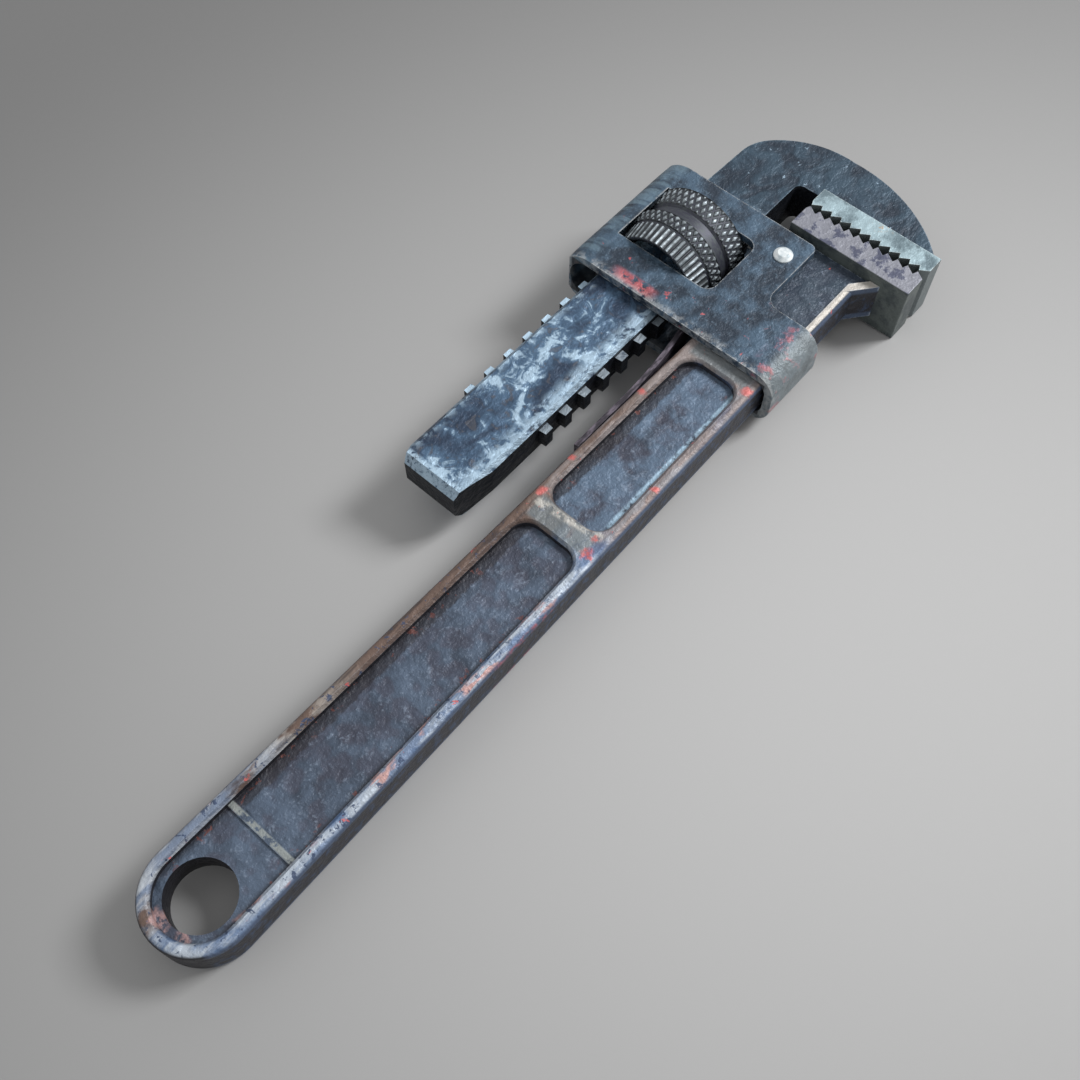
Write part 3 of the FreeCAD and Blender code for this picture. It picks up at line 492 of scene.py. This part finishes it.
hook = {
    "tone": {
        "dark": linear(44, 60, 82), "middle": linear(82, 110, 138), "bright": linear(186, 212, 232),
        "brown": linear(100, 98, 100), "head": linear(35, 47, 61), "headPale": linear(58, 78, 94),
        "side": linear(20, 24, 32), "toothTop": linear(140, 152, 162),
    },
    "at": {
        # where the shank ends and the forged head begins, and how far the one fades into the other
        "head": 279.0, "headFade": 3, "edgeFade": 8,
        "nearBand": (36.5, 30.0), "farBand": (50.0, 54.0), "endFace": (133.6, 132.0),
        "toothRows": (36.0, 46.0), "toothLevel": (4.6, 4.0), "edgeTop": (4.8, 5.6),
    },
    "cover": {
        "middle": (0.4, 0.58), "brown": (0.42, 0.34), "shine": (0.535, 0.61),
        "nearBand": (0.38, 0.52), "farBand": (0.44, 0.56), "headPale": (0.38, 0.64),
        "endFace": (0.35, 0.5), "toothTop": (0.3, 0.44), "edgeWearAndHighlight": (0.25, 0.8),
        "edgeBreaks": (0.42, 0.56),
    },
    "amount": {
        "brown": 0.45, "shine": 0.8, "nearBand": 0.75, "farBand": 0.6, "headChips": 0.55,
        "endFace": 0.8, "headEdge": 0.4,
    },
    "grain": 10.0, "bend": 0.7, "depth": 1.1, "metallic": 0.3, "edgeRadius": 1.0,
    "headChips": (2.6, 0.07),
    # grain, detail, roughness and bend of the two patterns on the shank, and how they are mixed
    "broad": (13.0, 3.0, 0.5, 0.9), "swirl": (5.0, 4.0, 0.6, 1.3),
    "middleMix": (0.7, 0.3), "shineMix": (0.55, 0.45),
    "groundStretch": (0.75, 1.0, 1.0), "broadStretch": (0.6, 1.0, 1.0),
}


def hookSteel():
    tone, at, cover, amount = parts(hook)
    finish = Finish("hookSteel")
    place = finish.place()
    x, y, z = finish.axes(place)
    ground = Ground(finish, finish.stretch(place, *hook["groundStretch"]), hook["grain"], hook["bend"])
    broad = finish.noise(finish.stretch(place, *hook["broadStretch"]), *hook["broad"])
    swirl = finish.noise(place, *hook["swirl"])
    mottle = blended(broad, swirl, hook["middleMix"]).step(*cover["middle"])
    shank = finish.mix(mottle, tone["dark"], tone["middle"])
    shank = finish.mix(swirl.step(*cover["brown"]) * amount["brown"], shank, tone["brown"])
    shine = blended(broad, swirl, hook["shineMix"]).step(*cover["shine"])
    shank = finish.mix(shine * amount["shine"], shank, tone["bright"])
    for band in ("nearBand", "farBand"):
        polished = y.step(*at[band]) * ground.middle.step(*cover[band])
        shank = finish.mix(polished * amount[band], shank, tone["bright"])

    head = finish.mix(ground.coarse.step(*cover["headPale"]), tone["head"], tone["headPale"])
    headChips = chips(finish, place, *hook["headChips"])
    head = finish.mix(headChips * amount["headChips"], head, tone["bright"])
    surface = finish.mix(x.step(at["head"] - at["headFade"], at["head"] + at["headFade"]), shank, head)
    endFace = x.step(*at["endFace"]) * ground.fine.step(*cover["endFace"])
    surface = finish.mix(endFace * amount["endFace"], surface, tone["bright"])
    # painted highlight: the tooth tops painted pale
    toothTone = finish.mix(y.step(*at["toothRows"]), tone["toothTop"], tone["bright"])
    toothTop = z.size().step(*at["toothLevel"]) * facing(finish)
    surface = finish.mix(toothTop * ground.middle.step(*cover["toothTop"]), surface, toothTone)
    # painted shade: the side faces painted near black
    surface = finish.mix(facing(finish), tone["side"], surface)

    # the shank's edges are painted bright as edge wear and a painted highlight, the head's only a little
    paleEdge = finish.edgeMask(hook["edgeRadius"]).step(*cover["edgeWearAndHighlight"])
    paleEdge = paleEdge * ground.middle.step(*cover["edgeBreaks"]) * z.size().step(*at["edgeTop"])
    low, high = at["head"] - at["edgeFade"], at["head"] + at["edgeFade"]
    surface = finish.mix(paleEdge * x.step(high, low), surface, tone["bright"])
    surface = finish.mix(paleEdge * x.step(low, high) * amount["headEdge"], surface, tone["bright"])
    return finish.set(Base_Color=surface, Metallic=hook["metallic"], Roughness=ground.gloss,
                      Normal=finish.bump(ground.relief, hook["depth"]))


insert = {
    "pale": linear(160, 182, 190), "grey": linear(104, 122, 130), "side": linear(112, 120, 122),
    "edge": linear(228, 240, 242), "rust": linear(190, 140, 70),
    "grain": 7.0, "depth": 0.5, "metallic": 0.3, "edgeRadius": 0.8,
    "paleCover": (0.38, 0.6), "edgeCover": (0.25, 0.7), "edgeBreaks": (0.35, 0.55), "edgeWearAndHighlight": 0.85,
    "rustSpot": ((298.6, -7.0, 11.0), 4.5), "rustCover": (0.5, 0.6), "rustAmount": 0.7,
}


def insertSteel():
    finish = Finish("insertSteel")
    place = finish.place()
    ground = Ground(finish, place, insert["grain"])
    surface = finish.mix(ground.coarse.step(*insert["paleCover"]), insert["grey"], insert["pale"])
    surface = finish.mix(facing(finish), insert["side"], surface)
    # edge wear and a painted highlight: the edges painted pale
    paleEdge = finish.edgeMask(insert["edgeRadius"]).step(*insert["edgeCover"])
    paleEdge = paleEdge * ground.fine.step(*insert["edgeBreaks"])
    surface = finish.mix(paleEdge * insert["edgeWearAndHighlight"], surface, insert["edge"])
    rust = spot(finish, place, *insert["rustSpot"]) * ground.middle.step(*insert["rustCover"])
    surface = finish.mix(rust * insert["rustAmount"], surface, insert["rust"])
    return finish.set(Base_Color=surface, Metallic=insert["metallic"], Roughness=ground.gloss,
                      Normal=finish.bump(ground.relief, insert["depth"]))


heel = {
    "top": linear(134, 136, 146), "blotch": linear(80, 84, 104), "side": linear(98, 106, 104),
    "dirt": linear(74, 82, 84), "edge": linear(196, 200, 206),
    "grain": 6.0, "depth": 0.5, "metallic": 0.25, "edgeRadius": 0.8,
    "blotchCover": (0.52, 0.58), "dirtCover": (0.4, 0.6), "glint": 0.3,
    "edgeCover": (0.25, 0.7), "edgeBreaks": (0.36, 0.5), "edgeWearAndHighlight": 0.55,
}


def heelSteel():
    finish = Finish("heelSteel")
    place = finish.place()
    ground = Ground(finish, place, heel["grain"])
    surface = finish.mix(ground.coarse.step(*heel["blotchCover"]), heel["top"], heel["blotch"])
    surface = finish.mix(ground.glint * heel["glint"], surface, heel["edge"])
    side = finish.mix(ground.coarse.step(*heel["dirtCover"]), heel["side"], heel["dirt"])
    surface = finish.mix(facing(finish), side, surface)
    # edge wear and a painted highlight: the edges painted pale
    paleEdge = finish.edgeMask(heel["edgeRadius"]).step(*heel["edgeCover"])
    paleEdge = paleEdge * ground.middle.step(*heel["edgeBreaks"])
    surface = finish.mix(paleEdge * heel["edgeWearAndHighlight"], surface, heel["edge"])
    return finish.set(Base_Color=surface, Metallic=heel["metallic"], Roughness=ground.gloss,
                      Normal=finish.bump(ground.relief, heel["depth"]))


nut = {
    "tip": linear(196, 208, 216), "pitAndShade": linear(20, 24, 28), "groove": linear(62, 64, 76),
    "dirt": linear(76, 82, 86), "bore": linear(16, 17, 20),
    "fineGrain": 1.3, "coarseGrain": 5.0, "detail": 4.0, "depth": 0.15,
    # metallic, roughness, the range of roughness, and strength of the relief
    "cut": (0.45, 0.32, 0.25, 0.6), "turned": (0.35, 0.42, 0.2, 0.4),
    "tipCover": (0.25, 1.0), "dirtCover": (0.42, 0.62), "dirtAmount": 0.6,
    "pitCover": (0.56, 0.46), "pitAmount": 0.35,
    # how far from the nut's axis the bore, painted dark as painted shade, gives way to the ground outside
    "boreReach": (16.1, 15.2), "axisY": 41.7,
    "turnedStretch": (4.0, 1.0, 1.0), "turnedGrain": 2.0, "turnedCover": (0.4, 0.65),
    # the rings: how many ridges go round, and how deep they are cut in mm
    "knurls": 44, "knurlDepth": 0.85, "knurlSlope": 1.3, "knurlTop": 0.85,
    "endSlope": 9, "endDrop": 0.4, "ribs": 48, "ribDepth": 0.55,
    # name, start and end as shares of the nut's length, how far inside its outer radius each ring
    # starts and ends, rows along it, how often the knurl crosses it, and steps for each ridge
    "rings": (
        ("nut_knurl_near", (0.3, 0.475), (-0.95, 0.05), 14, 2.4, 8),
        ("nut_knurl_far", (0.69, 0.965), (-1.05, 0.05), 18, 3.0, 8),
        ("nut_ribs", (0.004, 0.27), (-2.42, -1.45), 4, None, 6),
    ),
    "proud": 0.45, "innerDrop": 3.5, "smoothAngle": 25,
}


def finishFine(finish, surface, fine, depth, feel):
    # machined metal: one fine pattern drives both its roughness and its relief
    metallic, rough, roughRange, strength = feel
    return finish.set(Base_Color=surface, Metallic=metallic, Roughness=rough + fine * roughRange,
                      Normal=finish.bump(fine, depth, strength))


def nutSteel():
    finish = Finish("nutSteel")
    place = finish.place()
    fine = finish.noise(place, nut["fineGrain"], nut["detail"])
    coarse = finish.noise(place, nut["coarseGrain"], nut["detail"])
    tip = finish.node("ShaderNodeAttribute", {"attribute_name": "tip"}, output=2)
    # painted shade in the knurl's valleys and a painted highlight on its tips
    surface = finish.mix(tip.step(*nut["tipCover"]), nut["pitAndShade"], nut["tip"])
    surface = finish.mix(coarse.step(*nut["dirtCover"]) * nut["dirtAmount"], surface, nut["dirt"])
    surface = finish.mix(fine.step(*nut["pitCover"]) * nut["pitAmount"], surface, nut["pitAndShade"])
    return finishFine(finish, surface, fine, nut["depth"], nut["cut"])


def nutBody():
    finish = Finish("nutBody")
    place = finish.place()
    y, z = finish.axes(place)[1:]
    fine = finish.noise(finish.stretch(place, *nut["turnedStretch"]), nut["turnedGrain"], nut["detail"])
    surface = finish.mix(fine.step(*nut["turnedCover"]), nut["groove"], nut["dirt"])
    axis = finish.node("ShaderNodeCombineXYZ", None, {0: 0.0, 1: y - nut["axisY"], 2: z})
    reach = finish.node("ShaderNodeVectorMath", {"operation": "LENGTH"}, {0: axis}, 1)
    # painted shade: the bore painted near black
    surface = finish.mix(reach.step(*nut["boreReach"]), surface, nut["bore"])
    return finishFine(finish, surface, fine, nut["depth"], nut["turned"])


rivets = {
    "bright": linear(236, 242, 244), "dull": linear(150, 170, 180),
    # grain and detail
    "fine": (1.4, 4.0), "broad": (3.0, 3.0),
    "dullCover": (0.42, 0.66), "dullAmount": 0.6, "depth": 0.08, "feel": (0.25, 0.28, 0.2, 0.4),
}


def rivetSteel():
    finish = Finish("rivetSteel")
    place = finish.place()
    fine = finish.noise(place, *rivets["fine"])
    broad = finish.noise(place, *rivets["broad"])
    dull = broad.step(*rivets["dullCover"]) * rivets["dullAmount"]
    surface = finish.mix(dull, rivets["bright"], rivets["dull"])
    return finishFine(finish, surface, fine, rivets["depth"], rivets["feel"])


spring = {
    "dark": linear(54, 50, 58), "pale": linear(112, 104, 116),
    "stretch": (0.3, 1.0, 1.0), "fine": (1.2, 4.0), "paleCover": (0.4, 0.65), "depth": 0.15,
    "feel": (0.3, 0.4, 0.2, 0.5),
}


def springSteel():
    finish = Finish("springSteel")
    place = finish.place()
    fine = finish.noise(finish.stretch(place, *spring["stretch"]), *spring["fine"])
    surface = finish.mix(fine.step(*spring["paleCover"]), spring["dark"], spring["pale"])
    return finishFine(finish, surface, fine, spring["depth"], spring["feel"])


# width in mm, segments and sharpest angle left alone in degrees, for each rounded piece
edges = {
    "hook_jaw": (0.7, 2, 35), "housing": (0.6, 2, 35), "heel_jaw": (0.35, 2, 35),
    "pivot_pin": (0.7, 3, 20), "hook_jaw_insert": (0.35, 2, 35), "handle": (0.6, 2, 35),
}
weldReach = 0.002


def softenEdges(name, width, segments, angle):
    # CAD faces come apart at their edges, so they are welded before they are rounded
    node = nodes[name]
    weld = node.modifiers.new("weld", "WELD")
    weld.merge_threshold = weldReach * mm
    bevel = node.modifiers.new("bevel", "BEVEL")
    bevel.width = width * mm
    bevel.segments = segments
    bevel.limit_method = "ANGLE"
    bevel.angle_limit = math.radians(angle)
    bevel.harden_normals = True
    bevel.use_clamp_overlap = True


def paint(name, material):
    node = nodes[name]
    node.data.materials.clear()
    node.data.materials.append(material)


def smoothed(mesh, angle):
    for polygon in mesh.polygons:
        polygon.use_smooth = True
    mesh.set_sharp_from_angle(angle=math.radians(angle))


def addPiece(name, bm, body, material, angle):
    mesh = bpy.data.meshes.new(name)
    bm.normal_update()
    bm.to_mesh(mesh)
    bm.free()
    piece = bpy.data.objects.new(name, mesh)
    bpy.context.scene.collection.objects.link(piece)
    mesh.materials.append(material)
    smoothed(mesh, angle)
    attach(piece, body)
    return piece


def ringPoint(centre, x, reach, turn):
    # a point at a share of a turn about the nut's axis
    angle = 2 * math.pi * turn
    return x * mm, centre.y + reach * math.cos(angle), centre.z + reach * math.sin(angle)


def turnedRing(bm, centre, profile, around, lift, inner):
    # a ring about X: profile is (x, radius) in mm, lift(along, turn) raises the outside
    tips = []
    rows = []
    for along, (x, radius) in enumerate(profile):
        row = []
        for step in range(around):
            turn = step / around
            height, tip = lift(along / (len(profile) - 1), turn)
            row.append(bm.verts.new(ringPoint(centre, x, (radius + height) * mm, turn)))
            tips.append(tip)
        rows.append(row)
    for x in (profile[-1][0], profile[0][0]):
        turns = [step / around for step in range(around)]
        rows.append([bm.verts.new(ringPoint(centre, x, inner * mm, turn)) for turn in turns])
        tips += [0.0] * around
    for index, row in enumerate(rows):
        following = rows[(index + 1) % len(rows)]
        for step in range(around):
            after = (step + 1) % around
            bm.faces.new((row[step], row[after], following[after], following[step]))
    bmesh.ops.recalc_face_normals(bm, faces=bm.faces)
    return tips


def wave(value):
    # a triangle wave from 0 to 1 and back over one unit
    share = value % 1.0
    return 1 - abs(2 * share - 1)


def storeTips(piece, tips):
    attribute = piece.data.attributes.new("tip", "FLOAT", "POINT")
    attribute.data.foreach_set("value", tips)


def knurl(crossings):
    # crossed ridges, cut off flat on top and falling away at the ring's ends
    def lift(along, turn):
        first = wave(turn * nut["knurls"] + along * crossings / 2)
        second = wave(turn * nut["knurls"] - along * crossings / 2)
        peak = min(first, second) * nut["knurlSlope"]
        inside = min(1.0, min(along, 1 - along) * nut["endSlope"])
        cut = (min(peak, nut["knurlTop"]) - nut["knurlTop"]) * inside
        drop = (inside - 1) * nut["endDrop"]
        return nut["knurlDepth"] * cut + nut["knurlDepth"] * drop, peak * inside
    return lift


def rib(along, turn):
    # straight ridges along the ring, the same at every row
    peak = wave(turn * nut["ribs"])
    return nut["ribDepth"] * (peak - 1), peak


def buildNut(material):
    low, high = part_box("adjusting_nut")
    centre = (low + high) / 2
    start = low.x / mm
    length = (high.x - low.x) / mm
    ring = (high.z - low.z) / 2 / mm
    for name, (first, last), drops, rows, crossings, steps in nut["rings"]:
        lift, ridges = (knurl(crossings), nut["knurls"]) if crossings else (rib, nut["ribs"])
        firstRadius, lastRadius = ring + drops[0], ring + drops[1]
        profile = []
        for index in range(rows + 1):
            share = index / rows
            x = start + length * (first + (last - first) * share)
            profile.append((x, firstRadius + (lastRadius - firstRadius) * share + nut["proud"]))
        bm = bmesh.new()
        tips = turnedRing(bm, centre, profile, ridges * steps, lift, ring - nut["innerDrop"])
        piece = addPiece(name, bm, "nut", material, nut["smoothAngle"])
        storeTips(piece, tips)


print("finishes")
paint("handle", handleIron())
paint("housing", housingIron())
paint("hook_jaw", hookSteel())
paint("hook_jaw_insert", insertSteel())
paint("heel_jaw", heelSteel())
paint("adjusting_nut", nutBody())
paint("leaf_spring", springSteel())
rivetFinish = rivetSteel()
for rivet in ("pivot_pin", "heel_jaw_pin", "hook_insert_rivets", "spring_rivets"):
    paint(rivet, rivetFinish)

print("edges and nut")
for name, shape in edges.items():
    softenEdges(name, *shape)
buildNut(nutSteel())

# place in mm, directions in degrees
view = {
    "place": (2.9, -114.2, 336.3), "heading": 41.28, "down": 61.87,
    "lens": 42.19, "sensor": 36, "nearest": 0.01,
}


def addCamera():
    data = bpy.data.cameras.new("camera")
    data.lens = view["lens"]
    data.sensor_width = view["sensor"]
    data.clip_start = view["nearest"]
    camera = bpy.data.objects.new("camera", data)
    heading, down = math.radians(view["heading"]), math.radians(view["down"])
    flat = math.cos(down)
    forward = Vector((flat * math.cos(heading), flat * math.sin(heading), -math.sin(down)))
    camera.location = Vector(view["place"]) * mm
    camera.rotation_euler = forward.to_track_quat("-Z", "Y").to_euler()
    bpy.context.scene.collection.objects.link(camera)
    bpy.context.scene.camera = camera


studio = {
    # lamps: place in metres, watts, size in metres
    "key": ((0.95, -0.42, 0.85), 13.0, 0.4), "fill": ((-0.6, 0.7, 0.8), 0.6, 0.9),
    "aim": (0.15, 0.01, 0.0), "sky": 0.54,
    # the floor carries a painted pool of light, palest beside the handle and darker outward, and far away
    # it meets the sky's own grey
    "floor": linear(182, 182, 182), "floorEdge": linear(124, 124, 124),
    "floorFar": linear(246, 246, 246), "lightPoolCentre": (160.0, -70.0, 0.0),
    "lightPoolReach": (0.0, 430.0), "farReach": (800.0, 3000.0),
    "floorGrain": (3.0, 3.0), "floorRough": (0.7, 0.1), "floorSize": 12.0, "floorGap": 0.0003,
    # where the round end rests, as shares of how far it reaches behind the hang hole
    "endRest": (0.6, 0.5),
}


def addLamp(name, place, power, size):
    data = bpy.data.lights.new(name, "AREA")
    data.energy = power
    data.size = size
    lamp = bpy.data.objects.new(name, data)
    lamp.location = place
    lamp.rotation_euler = (Vector(studio["aim"]) - Vector(place)).to_track_quat("-Z", "Y").to_euler()
    bpy.context.scene.collection.objects.link(lamp)


def floorFinish():
    finish = Finish("floorPaint")
    place = finish.place()
    grain = finish.noise(place, *studio["floorGrain"])
    away = finish.node(
        "ShaderNodeVectorMath", {"operation": "DISTANCE"}, {0: place, 1: studio["lightPoolCentre"]}, 1)
    # painted light: a pool of light painted around its centre, darker outward
    surface = finish.mix(away.step(*studio["lightPoolReach"]), studio["floor"], studio["floorEdge"])
    surface = finish.mix(away.step(*studio["farReach"]), surface, studio["floorFar"])
    rough, roughRange = studio["floorRough"]
    return finish.set(Base_Color=surface, Roughness=rough + grain * roughRange)


def addFloor():
    # the tool lies on its nut, the round end of its handle and the outer corner of its heel
    nutLow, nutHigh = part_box("adjusting_nut")
    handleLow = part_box("handle")[0]
    heelLow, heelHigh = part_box("heel_jaw")
    along, across = studio["endRest"]
    rests = [
        Vector(((nutLow.x + nutHigh.x) / 2, (nutLow.y + nutHigh.y) / 2, nutLow.z)),
        Vector((handleLow.x * along, handleLow.x * across, handleLow.z)),
        Vector((heelHigh.x, heelLow.y, heelLow.z)),
    ]
    normal = (rests[1] - rests[0]).cross(rests[2] - rests[0]).normalized()
    if normal.z < 0:
        normal = -normal
    bm = bmesh.new()
    bmesh.ops.create_grid(bm, x_segments=1, y_segments=1, size=studio["floorSize"])
    tilt = Vector((0, 0, 1)).rotation_difference(normal).to_matrix().to_4x4()
    lay = Matrix.Translation(rests[0] - normal * studio["floorGap"]) @ tilt
    bmesh.ops.transform(bm, matrix=lay, verts=bm.verts)
    mesh = bpy.data.meshes.new("floor")
    bm.to_mesh(mesh)
    bm.free()
    floor = bpy.data.objects.new("floor", mesh)
    bpy.context.scene.collection.objects.link(floor)
    mesh.materials.append(floorFinish())


def addSky():
    world = bpy.data.worlds.new("sky")
    world.use_nodes = True
    shade = world.node_tree.nodes["Background"]
    shade.inputs["Color"].default_value = (1, 1, 1, 1)
    shade.inputs["Strength"].default_value = studio["sky"]
    bpy.context.scene.world = world


print("camera, light and floor")
addCamera()
addLamp("key", *studio["key"])
addLamp("fill", *studio["fill"])
addSky()
addFloor()
bpy.context.scene.view_settings.view_transform = "Standard"
